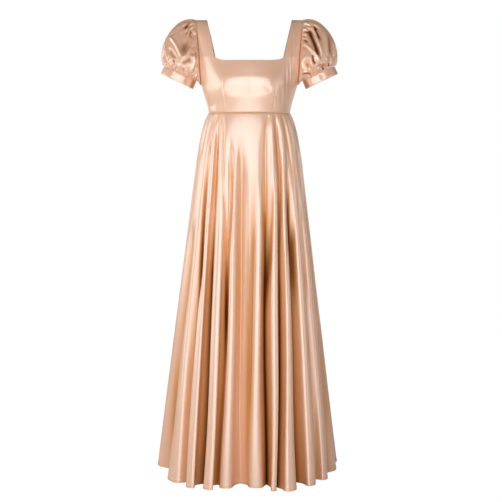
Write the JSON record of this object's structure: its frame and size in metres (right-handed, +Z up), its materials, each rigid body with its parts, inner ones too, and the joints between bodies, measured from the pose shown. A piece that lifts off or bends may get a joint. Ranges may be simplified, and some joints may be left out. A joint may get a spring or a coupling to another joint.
{
  "type": "regency gown",
  "caption": "Long empire-line gown with a square neck, short puff sleeves in cuffs and a full skirt in soft folds, hollow as worn.",
  "frame": {"origin": "midway between the tops of the two shoulder straps, where the wearer's shoulders carry the gown", "axes": "+Z up, -Y towards the front of the gown, +X towards the wearer's left"},
  "size_m": [0.5806, 0.596, 1.4213],
  "materials": {
    "satin": "satin"
  },
  "bodies": {
    "root": {"bodice_front": "satin", "bodice_back_left": "satin", "bodice_back_right": "satin", "skirt_front": "satin", "skirt_back_left": "satin", "skirt_back_right": "satin", "sleeve_left": "satin", "sleeve_right": "satin", "cuff_left": "satin", "cuff_right": "satin"}
  },
  "joints": []
}
